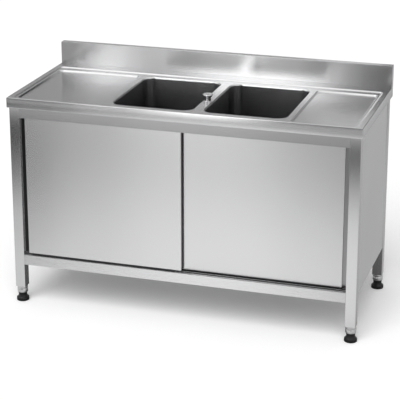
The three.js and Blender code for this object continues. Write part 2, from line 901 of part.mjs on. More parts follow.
function makeShelf() {
  const outerX = legOuterX - sidePanelInset - panelSheet - seatGap;
  const y0 = legFrontY + bottomRailWidth + seatGap;
  const y1 = rearLegFrontY - seatGap;
  const bottom = sidePanelBottom + panelSheet + seatGap;
  const tray = block(-outerX, outerX, y0, y1, bottom, bottomRailTop);
  const insideX = outerX - panelSheet;
  const insideTop = bottomRailTop - panelSheet;
  return cut(tray, block(-insideX, insideX, y0 + panelSheet, y1 - panelSheet, bottom - overcut, insideTop));
}

function makeShelfStiffener() {
  const seat = bottomRailTop - panelSheet - seatGap;
  const length = legOuterX - sidePanelInset - sidePanelFlange - 2 * seatGap;
  const middle = (legFrontY + legRearY) / 2;
  const height = shelfStiffenerHeight;
  const section = hatSection(middle, seat, shelfStiffenerWidth, height, shelfStiffenerBrim, -1);
  return barAlongX(section, -length, length);
}

function makeTopStiffener(side) {
  const plate = drainboardRectangle(side);
  const seat = drainboardLevel - topSheet - seatGap;
  const middle = (plate.x0 + plate.x1) / 2;
  const section = hatSection(middle, seat, topStiffenerWidth, topStiffenerHeight, topStiffenerBrim, -1);
  const y0 = legFrontY + topRailWidth + seatGap;
  const y1 = plate.y1 - drainboardSlopeRun - seatGap;
  return barAlongY(section, y0, y1);
}

function makeBackPanel() {
  const rear = legRearY - panelSheet - seatGap;
  const bottom = bottomRailTop + seatGap;
  const half = railHalfLength;
  const front = rear - backPanelFlange;
  const plan = [
    [-half, front],
    [-half + panelSheet, front],
    [-half + panelSheet, rear - panelSheet],
    [half - panelSheet, rear - panelSheet],
    [half - panelSheet, front],
    [half, front],
    [half, rear],
    [-half, rear],
  ];
  const sheet = upright(plan, bottom, backPanelTop);
  const x0 = bowlRightCentre - pipeWindowWidth / 2;
  const z0 = outletZ() - pipeWindowHeight / 2;
  return cut(sheet, block(x0, x0 + pipeWindowWidth, front, rear + overcut, z0, z0 + pipeWindowHeight));
}

// ---- tracks ----

function doorMiddleY(track) {
  return doorFrontY + doorThickness / 2 + track * doorPitch;
}

function ledgeFrontY(track) {
  return doorMiddleY(track) - rollerWidth / 2 - seatGap - trackWall;
}

function makeUpperTrack() {
  const plateBottom = trackTop - trackTopPlate;
  const front = legFrontY + panelSheet + seatGap;
  const back = legFrontY + topRailWidth;
  let track = barAlongX(
    [
      [front, plateBottom],
      [back, plateBottom],
      [back, trackTop],
      [front, trackTop],
    ],
    -railHalfLength,
    railHalfLength,
  );
  for (const run of [0, 1]) {
    const wall = ledgeFrontY(run);
    const ledgeBack = doorMiddleY(run) + rollerWidth / 2;
    const section = [
      [wall, ledgeTop - trackWall],
      [ledgeBack, ledgeTop - trackWall],
      [ledgeBack, ledgeTop],
      [wall + trackWall, ledgeTop],
      [wall + trackWall, plateBottom + overlap],
      [wall, plateBottom + overlap],
    ];
    track = joined(track, barAlongX(section, -railHalfLength, railHalfLength));
  }
  return track;
}

function makeLowerGuide() {
  const plateBottom = bottomRailTop + seatGap;
  const front = doorMiddleY(0) - doorThickness / 2;
  const back = doorMiddleY(1) + doorThickness / 2;
  let guide = block(-railHalfLength, railHalfLength, front, back, plateBottom, guidePlateTop);
  for (const run of [0, 1]) {
    const y0 = doorMiddleY(run) - guideRibThickness / 2;
    const top = guidePlateTop + guideRibHeight;
    const y1 = y0 + guideRibThickness;
    guide = joined(guide, block(-railHalfLength, railHalfLength, y0, y1, plateBottom, top));
  }
  return guide;
}

// ---- doors: the left one runs in front, the right one behind ----

// Plan points of the left door; the right door is its mirror image on the other track
function doorPlan(side, points) {
  const track = side < 0 ? 0 : 1;
  const y0 = doorFrontY + track * doorPitch;
  const outer = legInnerX - doorEndGap;
  return points.map(([inward, depth]) => [side * (outer - inward), y0 + depth]);
}

// A tray that is open at the back; its outer edge steps back to make the grip
function makeDoorSkin(side) {
  const far = doorWidth;
  const sheet = panelSheet;
  const face = [
    [0, doorThickness],
    [0, gripDepth],
    [gripWidth, gripDepth],
    [gripWidth, 0],
    [far, 0],
    [far, doorThickness],
  ];
  const inside = [
    [sheet, doorThickness + overcut],
    [sheet, gripDepth + sheet],
    [gripWidth + sheet, gripDepth + sheet],
    [gripWidth + sheet, sheet],
    [far - sheet, sheet],
    [far - sheet, doorThickness + overcut],
  ];
  const whole = upright(doorPlan(side, face), doorBottom, doorTop);
  return cut(whole, upright(doorPlan(side, inside), doorBottom + sheet, doorTop - sheet));
}

function doorFill(side, inset, depth0, depth1) {
  const points = [
    [inset, depth0],
    [doorWidth - panelSheet - seatGap, depth0],
    [doorWidth - panelSheet - seatGap, depth1],
    [inset, depth1],
  ];
  const edge = panelSheet + seatGap;
  return upright(doorPlan(side, points), doorBottom + edge, doorTop - edge);
}

function makeDoorBack(side) {
  return doorFill(side, panelSheet + seatGap, doorThickness - panelSheet, doorThickness);
}

function makeDoorCore(side) {
  const front = panelSheet + seatGap;
  return doorFill(side, gripWidth + panelSheet + seatGap, front, doorThickness - panelSheet - seatGap);
}

function hangerX(side, index) {
  const outer = legInnerX - doorEndGap;
  const fromEdge = index === 0 ? hangerInset : doorWidth - hangerInset;
  return side * (outer - fromEdge);
}

function makeHanger(side, index) {
  const track = side < 0 ? 0 : 1;
  const x = hangerX(side, index);
  const middle = doorMiddleY(track);
  const plateFront = middle + rollerWidth / 2 + hangerSideGap;
  const plateBack = plateFront + hangerSheet;
  const base = doorTop + seatGap;
  const half = hangerLength / 2;
  const foot = block(x - half, x + half, middle - rollerWidth, plateBack, base, base + hangerSheet);
  const tabHalf = rollerDiameter / 2;
  const upper = axleHeight + axleDiameter;
  const tab = block(x - tabHalf, x + tabHalf, plateFront, plateBack, base, upper);
  const pinFront = middle - rollerWidth / 2;
  const pin = rodAlongY(axleDiameter / 2, x, pinFront, plateFront + overlap, axleHeight, 16);
  return joined(foot, tab, pin);
}

function makeRoller(side, index) {
  const track = side < 0 ? 0 : 1;
  const radius = rollerDiameter / 2;
  const bore = axleDiameter / 2 + seatGap;
  const half = rollerWidth / 2;
  const profile = [
    [bore, -half],
    [radius, -half],
    [radius, -half + rollerGroove],
    [radius - rollerGroove, 0],
    [radius, half - rollerGroove],
    [radius, half],
    [bore, half],
    [bore, -half],
  ].map(([r, h]) => new THREE.Vector2(r, h));
  const wheel = new THREE.LatheGeometry(profile, 32);
  return solid(wheel.translate(hangerX(side, index), doorMiddleY(track), axleHeight));
}

// A nylon strip under the door that straddles the rib of the lower guide
function makeGuideShoe(side) {
  const track = side < 0 ? 0 : 1;
  const middle = doorMiddleY(track);
  const top = doorBottom - seatGap;
  const bottom = guidePlateTop + shoeFloorGap;
  const slot = guideRibThickness / 2 + shoeSlotClearance;
  const slotTop = guidePlateTop + guideRibHeight + shoeSlotClearance;
  const half = shoeWidth / 2;
  const section = [
    [middle - half, bottom],
    [middle - slot, bottom],
    [middle - slot, slotTop],
    [middle + slot, slotTop],
    [middle + slot, bottom],
    [middle + half, bottom],
    [middle + half, top],
    [middle - half, top],
  ];
  const outer = legInnerX - doorEndGap;
  const ends = [side * (outer - shoeEndInset), side * (outer - doorWidth + shoeEndInset)];
  return barAlongX(section, Math.min(...ends), Math.max(...ends));
}

// ---- the assembly ----

add("worktop", makeWorktop(), steelColour, 0.28);
add("bowl_frame", makeBowlFrame(), steelColour, 0.28);
add("upstand", makeUpstand(), steelColour, 0.28);
add("drainboard_left", makeDrainboard(-1), steelColour, 0.28);
add("drainboard_right", makeDrainboard(1), steelColour, 0.28);
add("bowl_left", makeBowl(bowlLeftCentre), satinColour, 0.25);
add("bowl_right", makeBowl(bowlRightCentre), satinColour, 0.25);
add("tap_hole_cap", makeTapCap(), chromeColour, 0.1);
add("tap_hole_nut", makeTapNut(), satinColour);
add("waste_seat_left", makeWasteSeat(bowlLeftCentre), chromeColour, 0.15);
add("waste_seat_right", makeWasteSeat(bowlRightCentre), chromeColour, 0.15);
add("overflow_pipe_left", makeOverflow(bowlLeftCentre), chromeColour, 0.15);
add("overflow_pipe_right", makeOverflow(bowlRightCentre), chromeColour, 0.15);
add("cross_pipe", makeCrossPipe(), pipeColour, 0.5, 0);
add("drain_tee", makeTee(), pipeColour, 0.5, 0);
add("bottle_trap", makeTrap(), pipeColour, 0.5, 0);
add("outlet_pipe", makeOutletPipe(), pipeColour, 0.5, 0);

const corners = [
  ["front_left", -1, -1],
  ["front_right", 1, -1],
  ["rear_left", -1, 1],
  ["rear_right", 1, 1],
];
for (const [place, side, end] of corners) {
  add(`leg_${place}`, makeLeg(side, end), steelColour);
  add(`sleeve_${place}`, makeSleeve(side, end), satinColour, 0.3);
  add(`foot_${place}`, makeFoot(side, end), plasticColour, 0.55, 0);
}

add("top_rail_front", makeFrontTopRail(), steelColour);
add("top_rail_rear", makeRearTopRail(), steelColour);
add("bottom_rail_front", makeBottomRail(-1), steelColour);
add("bottom_rail_rear", makeBottomRail(1), steelColour);
add("bottom_shelf", makeShelf(), satinColour);
add("shelf_stiffener", makeShelfStiffener(), satinColour);
add("back_panel", makeBackPanel(), satinColour);
add("upper_track", makeUpperTrack(), satinColour, 0.3);
add("lower_guide", makeLowerGuide(), satinColour, 0.3);

for (const [place, side] of [
  ["left", -1],
  ["right", 1],
]) {
  add(`top_rail_${place}`, makeSideTopRail(side), steelColour);
  add(`side_panel_${place}`, makeSidePanel(side), steelColour);
  add(`top_stiffener_${place}`, makeTopStiffener(side), satinColour);
  add(`door_skin_${place}`, makeDoorSkin(side), steelColour, 0.3);
  add(`door_core_${place}`, makeDoorCore(side), coreColour, 0.9, 0);
  add(`door_back_${place}`, makeDoorBack(side), satinColour);
  add(`guide_shoe_${place}`, makeGuideShoe(side), nylonColour, 0.6, 0);
  for (const [row, index] of [
    ["outer", 0],
    ["inner", 1],
  ]) {
    add(`hanger_${place}_${row}`, makeHanger(side, index), satinColour);
    add(`roller_${place}_${row}`, makeRoller(side, index), nylonColour, 0.6, 0);
  }
}

export default part;
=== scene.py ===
import json
import math

import bmesh
import bpy
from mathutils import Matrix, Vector


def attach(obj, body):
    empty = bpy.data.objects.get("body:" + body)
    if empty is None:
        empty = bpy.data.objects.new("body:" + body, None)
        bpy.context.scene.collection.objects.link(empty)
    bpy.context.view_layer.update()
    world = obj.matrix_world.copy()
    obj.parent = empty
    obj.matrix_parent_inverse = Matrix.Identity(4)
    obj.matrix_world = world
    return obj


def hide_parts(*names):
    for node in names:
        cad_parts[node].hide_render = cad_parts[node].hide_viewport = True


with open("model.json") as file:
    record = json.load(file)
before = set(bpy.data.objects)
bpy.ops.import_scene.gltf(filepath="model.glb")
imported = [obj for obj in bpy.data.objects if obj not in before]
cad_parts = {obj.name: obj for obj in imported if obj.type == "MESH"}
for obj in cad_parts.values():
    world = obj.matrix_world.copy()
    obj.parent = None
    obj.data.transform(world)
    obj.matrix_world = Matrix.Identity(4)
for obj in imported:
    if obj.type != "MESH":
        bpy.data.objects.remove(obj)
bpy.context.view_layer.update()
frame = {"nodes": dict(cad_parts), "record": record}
NODES = frame["nodes"]
BODY_OF = {n: b for b, ns in frame["record"]["behaviour"]["bodies"].items() for n in ns}
SLOT_OF = {s["node"]: s["material_slot"] for s in frame["record"]["subparts"]}
# The guide shoes are painted black as the shadow under the doors, instead of their white nylon
SLOT_OF.update(guide_shoe_left="black_plastic", guide_shoe_right="black_plastic")
MM = 0.001
SIDES = ("left", "right")
CORNERS = ("front_left", "front_right", "rear_left", "rear_right")

# Lengths of the shapes are in millimetres where nothing else is said, and angles in degrees
SHEET = 1.5
EDGE = 2.2  # rounding of the worktop's folded edge
HEM = 6.0  # how far that edge is turned in underneath
GUARD = 0.6  # strip of a flat beside a curve, which keeps the flat's shading flat
LEAST_RADIUS = 0.2  # of a ring's corners, however far it is set in
POLE_RADIUS = 0.01  # of the first and last circle of a closed turned piece; its points are merged
LEAST_EDGE = 1e-9  # metres; nothing is divided by less

# Worktop: widths of the raised rim, the slope down to the field, and what is let into the field
RIM_SIDE = 20.0
RIM_FRONT = 12.0
RIM_BACK = 90.0
RIM_RADIUS = 18.0
SLOPE_RUN = 9.0
FIELD_LEVEL = 846.0
LIP = 6.0  # radius of the roll round each bowl's opening
TRAY_RADIUS = 16.0
TRAY_RUN = 5.5
TRAY_LEVEL = 840.0
TAP_HOLE_RADIUS = 6.0

# Bowls
BOWL_RADIUS = 40.0
BOWL_FLOOR_RADIUS = 30.0
BOWL_OVERLAP = 0.3  # its wall reaches this far up into the lip
BOWL_COLLAR = 8.0  # first part of the wall, counted from the top
BOWL_GUARD = 1.0  # strip of the floor beside its curve
BOWL_EDGE_GAP = 0.1  # between the outer side's upper edge and the wall
# The dish round the waste seat: out from the seat's radius, and up from the bowl's floor
DISH = [(6, 0.0), (2, -0.3), (-14, -0.4)]

# Steps in curves
CORNER_STEPS = 10
BOWL_CORNER_STEPS = 14
SLOPE_STEPS = 14
HEM_STEPS = 3
EDGE_STEPS = 5
LIP_STEPS = 8
BOWL_FLOOR_STEPS = 12
BOWL_UNDER_STEPS = 6
HOLE_SEGMENTS = 44
DISH_SEGMENTS = 60
ROUND_SEGMENTS = 64
CAP_SEGMENTS = 72

# The doors' outer edges are folded in from here, as a grip, behind the doors' front faces
GRIP_EDGE = 629.0
GRIP_FRONT = {"left": -288.0, "right": -268.0}
FACING = 0.9  # a face looks along an axis when that part of its normal is more than this

# Rounding of the pieces that keep the form of their node: radius and steps of the folds, and the
# width up to which a face counts as a cut edge of the sheet, which stays crisp
FOLDS = {
    "leg": dict(radius=3.2, segments=4),
    "upstand": dict(radius=2.2, segments=4),
    "panel": dict(radius=1.8),
    "inside": dict(radius=1.0, segments=2),
    "pipe": dict(radius=1.2, segments=2),
    "fitting": dict(radius=0.6, segments=2, widest_cut=1.0),
    "bracket": dict(radius=0.8, segments=2),
    "roller": dict(radius=0.3, segments=2, widest_cut=0.5),
}
FLAT_ANGLE = 0.5  # faces that turn less than this against each other become one
SHARP_ANGLE = 30  # edges that turn more than this show as edges
FOLD_ANGLE = 50  # and those that turn outwards more than this are rounded
SHEET_SHARP_ANGLE = 40
SPUN_SHARP_ANGLE = 50
FLAT_WEIGHT = 90  # how much large faces decide the shading of their corners
# Points closer than this are one, in metres
WELD = 2e-6
SPUN_WELD = 2e-5


# ---------------------------------------------------------------- meshes

def linked(obj):
    bpy.context.scene.collection.objects.link(obj)
    return obj


def mesh_object(name, verts, faces):
    """An object from points in metres."""
    mesh = bpy.data.meshes.new(name)
    mesh.from_pydata(verts, [], faces)
    return linked(bpy.data.objects.new(name, mesh))


def from_bmesh(name, bm):
    mesh = bpy.data.meshes.new(name)
    bm.to_mesh(mesh)
    bm.free()
    return linked(bpy.data.objects.new(name, mesh))


PIECES = []


def fit(obj, *nodes):
    """Puts a piece in the place of CAD nodes, on the same body; it is painted later with the first
    node's finish.
    """
    PIECES.append((obj, nodes[0]))
    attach(obj, BODY_OF[nodes[0]])
    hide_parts(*nodes)
    return obj


def box_of(node):
    """The node's extent in the shared frame: x0, x1, y0, y1, z0, z1."""
    obj = NODES[node]
    points = [obj.matrix_world @ Vector(c) for c in obj.bound_box]
    box = []
    for axis in range(3):
        values = [p[axis] / MM for p in points]
        box += [min(values), max(values)]
    return box


def middle(box):
    return (box[0] + box[1]) / 2, (box[2] + box[3]) / 2


def half_width(box):
    return (box[1] - box[0]) / 2


def width_of(face):
    longest = max(e.calc_length() for e in face.edges)
    return face.calc_area() / max(longest, LEAST_EDGE)


def dressed(node, radius, segments=3, widest_cut=2.6, second=None):
    """The node's own form with rounded folds; cut edges of the sheet stay crisp.

    second(centre, normal) picks the faces that take a second material, which paints shade on them."""
    bm = bmesh.new()
    bm.from_mesh(NODES[node].data)
    bm.transform(NODES[node].matrix_world)
    bmesh.ops.remove_doubles(bm, verts=bm.verts, dist=WELD)
    bmesh.ops.dissolve_limit(bm, angle_limit=math.radians(FLAT_ANGLE), verts=bm.verts,
                             edges=bm.edges)
    bmesh.ops.recalc_face_normals(bm, faces=bm.faces)
    weight = bm.edges.layers.float.new("bevel_weight_edge")
    for face in bm.faces:
        face.smooth = True
        if second and second(face.calc_center_median() / MM, face.normal):
            face.material_index = 1
    for edge in bm.edges:
        if len(edge.link_faces) != 2:
            continue
        angle = edge.calc_face_angle_signed(0.0)
        if abs(angle) > math.radians(SHARP_ANGLE):
            edge.smooth = False
        narrowest = min(width_of(f) for f in edge.link_faces)
        if angle > math.radians(FOLD_ANGLE) and narrowest > widest_cut * MM:
            edge.smooth = True
            edge[weight] = 1.0
    obj = from_bmesh(node + "_piece", bm)
    bevel = obj.modifiers.new("folds", "BEVEL")
    bevel.width = radius * MM
    bevel.segments = segments
    bevel.limit_method = "WEIGHT"
    bevel.material = 0
    bevel.use_clamp_overlap = True
    flat = obj.modifiers.new("flat_faces", "WEIGHTED_NORMAL")
    flat.weight = FLAT_WEIGHT
    flat.keep_sharp = True
    return fit(obj, node)


def ring(x0, x1, y0, y1, z, radius, steps):
    """A rounded rectangle, counter-clockwise from its +X, +Y corner."""
    points = []
    corners = [(x1 - radius, y1 - radius), (x0 + radius, y1 - radius),
               (x0 + radius, y0 + radius), (x1 - radius, y0 + radius)]
    for turn, (cx, cy) in enumerate(corners):
        for i in range(steps + 1):
            angle = (turn + i / steps) * math.pi / 2
            points.append((cx + radius * math.cos(angle), cy + radius * math.sin(angle), z))
    return points


def inset_ring(rectangle, by, z, steps=CORNER_STEPS):
    """A ring this far inside a rectangle (x0, x1, y0, y1, radius); outside where negative."""
    x0, x1, y0, y1, radius = rectangle
    return ring(x0 + by, x1 - by, y0 + by, y1 - by, z, max(radius - by, LEAST_RADIUS), steps)


def circle(x, y, z, radius, segments):
    return [(x + radius * math.cos(2 * math.pi * i / segments),
             y + radius * math.sin(2 * math.pi * i / segments), z) for i in range(segments)]


def quarter(steps):
    """The angles of a quarter turn in radians, both ends included."""
    return [i / steps * math.pi / 2 for i in range(steps + 1)]


def skin(bm, rings):
    """Faces between rings of equal length; returns the vertices of each ring."""
    made = [[bm.verts.new([c * MM for c in p]) for p in r] for r in rings]
    n = len(made[0])
    for low, high in zip(made, made[1:]):
        for i in range(n):
            j = (i + 1) % n
            bm.faces.new((low[i], low[j], high[j], high[i]))
    return made


def loop_edges(bm, verts):
    edges = []
    for a, b in zip(verts, verts[1:] + verts[:1]):
        edges.append(bm.edges.get((a, b)) or bm.edges.new((a, b)))
    return edges


def filled(bm, *loops):
    """A flat face set between an outer loop and the loops of its holes."""
    edges = [e for verts in loops for e in loop_edges(bm, verts)]
    bmesh.ops.triangle_fill(bm, use_beauty=True, use_dissolve=False, edges=edges, normal=(0, 0, 1))


def shade(bm, sharp):
    """Smooth shading, but for edges that turn more than this."""
    bmesh.ops.recalc_face_normals(bm, faces=bm.faces)
    for face in bm.faces:
        face.smooth = True
    for edge in bm.edges:
        if len(edge.link_faces) == 2 and abs(edge.calc_face_angle(0.0)) > math.radians(sharp):
            edge.smooth = False


def finish_sheet(bm, name, *nodes):
    shade(bm, SHEET_SHARP_ANGLE)
    return fit(from_bmesh(name, bm), *nodes)


def spun(name, profile, x, y, segments=ROUND_SEGMENTS):
    """A turned piece from (radius, z) points."""
    bm = bmesh.new()
    skin(bm, [circle(x, y, z, max(r, POLE_RADIUS), segments) for r, z in profile])
    bmesh.ops.remove_doubles(bm, verts=bm.verts, dist=SPUN_WELD)
    shade(bm, SPUN_SHARP_ANGLE)
    return from_bmesh(name, bm)


def arc(cx, cz, radius, start, end, steps):
    """The (radius, z) points of an arc for a turned profile."""
    points = []
    for i in range(steps + 1):
        a = math.radians(start + (end - start) * i / steps)
        points.append((cx + radius * math.cos(a), cz + radius * math.sin(a)))
    return points


def eased(t):
    return t * t * (3 - 2 * t)


def pressed(t, rounding=0.22):
    """The fall of a pressed slope: a straight flank between two small radii."""
    if t < rounding:
        fall = t * t / (2 * rounding)
    elif t > 1 - rounding:
        fall = 1 - rounding - (1 - t) ** 2 / (2 * rounding)
    else:
        fall = t - rounding / 2
    return fall / (1 - rounding)


# ---------------------------------------------------------------- worktop, trays and bowls

def tray_rectangle(side):
    x0, x1, y0, y1, _, _ = box_of("drainboard_" + side)
    return (x0, x1, y0, y1, TRAY_RADIUS)


def bowl_rectangle(side):
    x0, x1, y0, y1, _, _ = box_of("bowl_" + side)
    return (x0 + SHEET, x1 - SHEET, y0 + SHEET, y1 - SHEET, BOWL_RADIUS)


def pressed_rings(rectangle, run, z_top, z_bottom):
    """An S-shaped slope from a rectangle's edge down to a level inside it."""
    rings = [inset_ring(rectangle, 0, z_top)]
    for i in range(1, SLOPE_STEPS + 1):
        t = i / SLOPE_STEPS
        rings.append(inset_ring(rectangle, run * t, z_top + (z_bottom - z_top) * pressed(t)))
    return rings


def make_worktop():
    x0, x1, y0, y1, z0, z1 = box_of("worktop")
    outer = (x0, x1, y0, y1, EDGE)
    rim = (x0 + RIM_SIDE, x1 - RIM_SIDE, y0 + RIM_FRONT, y1 - RIM_BACK, RIM_RADIUS)
    bm = bmesh.new()
    rings = [inset_ring(outer, HEM, z0 + SHEET), inset_ring(outer, HEM, z0)]
    for a in quarter(HEM_STEPS):
        rings.append(inset_ring(outer, EDGE * (1 - math.sin(a)), z0 + EDGE * (1 - math.cos(a))))
    for a in quarter(EDGE_STEPS):
        rings.append(inset_ring(outer, EDGE * (1 - math.cos(a)), z1 - EDGE * (1 - math.sin(a))))
    rings.append(inset_ring(outer, EDGE + GUARD, z1))
    rings.append(inset_ring(rim, -GUARD, z1))
    rings += pressed_rings(rim, SLOPE_RUN, z1, FIELD_LEVEL)
    rings.append(inset_ring(rim, SLOPE_RUN + GUARD, FIELD_LEVEL))
    field_edge = skin(bm, rings)[-1]
    holes = []
    for side in SIDES:
        tray = tray_rectangle(side)
        edge = [inset_ring(tray, -GUARD, FIELD_LEVEL), inset_ring(tray, 0, FIELD_LEVEL)]
        holes.append(skin(bm, edge)[0])
        bowl = bowl_rectangle(side)
        lip = [inset_ring(bowl, -LIP - GUARD, FIELD_LEVEL, BOWL_CORNER_STEPS)]
        for a in quarter(LIP_STEPS):
            out = LIP * (1 - math.sin(a))
            z = FIELD_LEVEL - LIP * (1 - math.cos(a))
            lip.append(inset_ring(bowl, -out, z, BOWL_CORNER_STEPS))
        holes.append(skin(bm, lip)[0])
    x, y = middle(box_of("tap_hole_cap"))
    tap_hole = [circle(x, y, FIELD_LEVEL, TAP_HOLE_RADIUS + GUARD, HOLE_SEGMENTS),
                circle(x, y, FIELD_LEVEL, TAP_HOLE_RADIUS, HOLE_SEGMENTS),
                circle(x, y, FIELD_LEVEL - SHEET, TAP_HOLE_RADIUS, HOLE_SEGMENTS)]
    holes.append(skin(bm, tap_hole)[0])
    filled(bm, field_edge, *holes)
    return finish_sheet(bm, "worktop_sheet", "worktop", "bowl_frame")


def make_tray(side):
    tray = tray_rectangle(side)
    bm = bmesh.new()
    rings = pressed_rings(tray, TRAY_RUN, FIELD_LEVEL, TRAY_LEVEL)
    rings.append(inset_ring(tray, TRAY_RUN + GUARD, TRAY_LEVEL))
    floor_edge = skin(bm, rings)[-1]
    filled(bm, floor_edge)
    under = [inset_ring(tray, TRAY_RUN, TRAY_LEVEL - SHEET),
             inset_ring(tray, 0, FIELD_LEVEL - SHEET), inset_ring(tray, 0, FIELD_LEVEL)]
    filled(bm, skin(bm, under)[0])
    return finish_sheet(bm, "tray_" + side, "drainboard_" + side)


def make_bowl(side):
    rectangle = bowl_rectangle(side)
    bottom, top = box_of("bowl_" + side)[4:]
    floor_z = bottom + SHEET

    def wall(by, z):
        return inset_ring(rectangle, by, z, BOWL_CORNER_STEPS)

    inner = [wall(0, top + BOWL_OVERLAP), wall(0, top - BOWL_COLLAR)]
    for a in quarter(BOWL_FLOOR_STEPS):
        by = BOWL_FLOOR_RADIUS * (1 - math.cos(a))
        inner.append(wall(by, floor_z + BOWL_FLOOR_RADIUS * (1 - math.sin(a))))
    inner.append(wall(BOWL_FLOOR_RADIUS + BOWL_GUARD, floor_z))
    bm = bmesh.new()
    floor_edge = skin(bm, inner)[-1]
    x, y = (rectangle[0] + rectangle[1]) / 2, (rectangle[2] + rectangle[3]) / 2
    seat = half_width(box_of("waste_seat_" + side))
    dish = [circle(x, y, floor_z + up, seat + out, DISH_SEGMENTS) for out, up in DISH]
    filled(bm, floor_edge, skin(bm, dish)[0])
    outer = []
    for a in reversed(quarter(BOWL_UNDER_STEPS)):
        by = BOWL_FLOOR_RADIUS * (1 - math.cos(a)) - SHEET * math.cos(a)
        z = floor_z + BOWL_FLOOR_RADIUS * (1 - math.sin(a)) - SHEET * math.sin(a)
        outer.append(wall(by, z))
    outer += [wall(-SHEET, top), wall(-BOWL_EDGE_GAP, top)]
    under_edge = skin(bm, outer)[0]
    hole_radius = seat + DISH[-1][0]
    hole = [circle(x, y, bottom, hole_radius, DISH_SEGMENTS),
            circle(x, y, floor_z + DISH[-1][1], hole_radius, DISH_SEGMENTS)]
    filled(bm, under_edge, skin(bm, hole)[0])
    return finish_sheet(bm, "bowl_sheet_" + side, "bowl_" + side)


# ---------------------------------------------------------------- turned pieces

# Tap-hole cap: a shank through the hole, a flange, a stem and a round head. The tables give: out
# from the stem and up from the worktop; out from the head and up from its underside; share of the
# head's radius and up from its top
CAP_SEAT = 0.3
CAP_SHANK = 5.0
CAP_STEM = 12.5
CAP_HEAD = 9.0
CAP_NECK = 0.8
CAP_ROUND = 3.0
CAP_ROUND_END = 75
CAP_ROUND_STEPS = 6
CAP_FLANGE_EDGE = [(1.5, 0.0), (1.5, 1.2), (0.0, 2.0)]
CAP_HEAD_EDGE = [(-2.5, 0.0), (-0.8, 0.5)]
CAP_CROWN = [(0.6, -0.4), (0.3, -0.05), (0.0, 0.0)]

# Sleeve: a grooved ring below the leg, and a plug up into the leg. The tables give: out from the
# ring or the plug, and up from the lower end, the ring's top or the plug's top
SLEEVE_RING = 26
SLEEVE_INSIDE = 0.5  # share of the ring's radius at which its end faces stop
SLEEVE_BORE = 10.4
SLEEVE_BORE_LOW = 0.5
SLEEVE_PLUG = 15.5
SLEEVE_LOWER = [(-1.2, 0.0), (-0.3, 0.4), (0.0, 1.2), (0.0, 16.5), (-0.5, 17.0), (-0.5, 18.0),
                (0.0, 18.5)]
SLEEVE_UPPER = [(0.0, -1.0), (-1.0, 0.0)]
SLEEVE_PLUG_EDGE = [(0.0, -1.0), (-0.5, 0.0)]

# Foot: a flared pad, a neck and a threaded stem. The tables give: out from the pad or from the
# neck, and up from the floor. The rounds are: radius, height of the centre, first and last angle,
# steps
FOOT_NECK = 17.0
FOOT_NECK_TOP = 35.4
FOOT_STEM = 10.0
FOOT_UNDERSIDE = 2.2
FOOT_HEEL = (1.6, 1.8, -70, 0, 4)
FOOT_GROOVE = [(0.0, 5.6), (-0.8, 6.2), (-0.8, 7.0), (0.0, 7.6)]
FOOT_SHOULDER = (3.0, 11.0, 0, 60, 5)
FOOT_FLARE = [(3.0, 16.0), (1.0, 19.0), (0.0, 22.5), (0.0, 29.0), (0.6, 29.6)]
FOOT_COLLAR = (0.6, -0.8)
THREAD_START = 0.5
THREAD_PITCH = 1.5
THREAD_DEPTH = 0.7
THREAD_END = 2.0
STEM_TAPER = 1.5


def offset(table, radius, z):
    return [(radius + out, z + up) for out, up in table]


def make_tap_cap():
    box = box_of("tap_hole_cap")
    r = half_width(box)
    low, top = FIELD_LEVEL + CAP_SEAT, box[5]
    profile = [(CAP_SHANK, box[4]), (CAP_SHANK, low)] + offset(CAP_FLANGE_EDGE, CAP_STEM, low)
    profile += [(CAP_STEM, top - CAP_HEAD - CAP_NECK)] + offset(CAP_HEAD_EDGE, r, top - CAP_HEAD)
    profile += arc(r - CAP_ROUND, top - CAP_ROUND, CAP_ROUND, 0, CAP_ROUND_END, CAP_ROUND_STEPS)
    profile += [(r * share, top + up) for share, up in CAP_CROWN]
    return fit(spun("tap_cap", profile, *middle(box), CAP_SEGMENTS), "tap_hole_cap")


def make_sleeve(corner):
    box = box_of("sleeve_" + corner)
    r = half_width(box)
    low = box[4]
    top = low + SLEEVE_RING
    profile = [(r * SLEEVE_INSIDE, low + SLEEVE_BORE_LOW)] + offset(SLEEVE_LOWER, r, low)
    profile += offset(SLEEVE_UPPER, r, top) + [(r * SLEEVE_INSIDE, top), (SLEEVE_PLUG, top)]
    profile += offset(SLEEVE_PLUG_EDGE, SLEEVE_PLUG, box[5])
    profile += [(SLEEVE_BORE, box[5]), (SLEEVE_BORE, low + SLEEVE_BORE_LOW)]
    return fit(spun("sleeve_ring_" + corner, profile, *middle(box)), "sleeve_" + corner)


def make_foot(corner):
    box = box_of("foot_" + corner)
    r = half_width(box)
    profile = [(0, 0), (r - FOOT_UNDERSIDE, 0)]
    profile += arc(r - FOOT_HEEL[0], FOOT_HEEL[1], FOOT_HEEL[0], *FOOT_HEEL[2:])
    profile += offset(FOOT_GROOVE, r, 0)
    profile += arc(r - FOOT_SHOULDER[0], FOOT_SHOULDER[1], FOOT_SHOULDER[0], *FOOT_SHOULDER[2:])
    profile += offset(FOOT_FLARE, FOOT_NECK, 0) + offset([FOOT_COLLAR], FOOT_NECK, FOOT_NECK_TOP)
    profile += [(FOOT_NECK, FOOT_NECK_TOP), (FOOT_STEM, FOOT_NECK_TOP)]
    thread_top = box[5] - THREAD_END
    z = FOOT_NECK_TOP + THREAD_START
    while z < thread_top - THREAD_PITCH:
        profile += [(FOOT_STEM, z), (FOOT_STEM - THREAD_DEPTH, z + THREAD_PITCH / 2)]
        z += THREAD_PITCH
    profile += [(FOOT_STEM, thread_top), (FOOT_STEM - STEM_TAPER, box[5]), (0, box[5])]
    return fit(spun("foot_pad_" + corner, profile, *middle(box)), "foot_" + corner)


# ---------------------------------------------------------------- pieces in their places

def grip_shade_faces(side):
    """Picks a door's faces that take painted shade: its folded-in outer edge, and those facing the
    other door.
    """
    outward = -1 if side == "left" else 1

    def picked(centre, normal):
        folded = centre.x * outward > GRIP_EDGE and centre.y > GRIP_FRONT[side]
        return folded or normal.x * outward < -FACING
    return picked


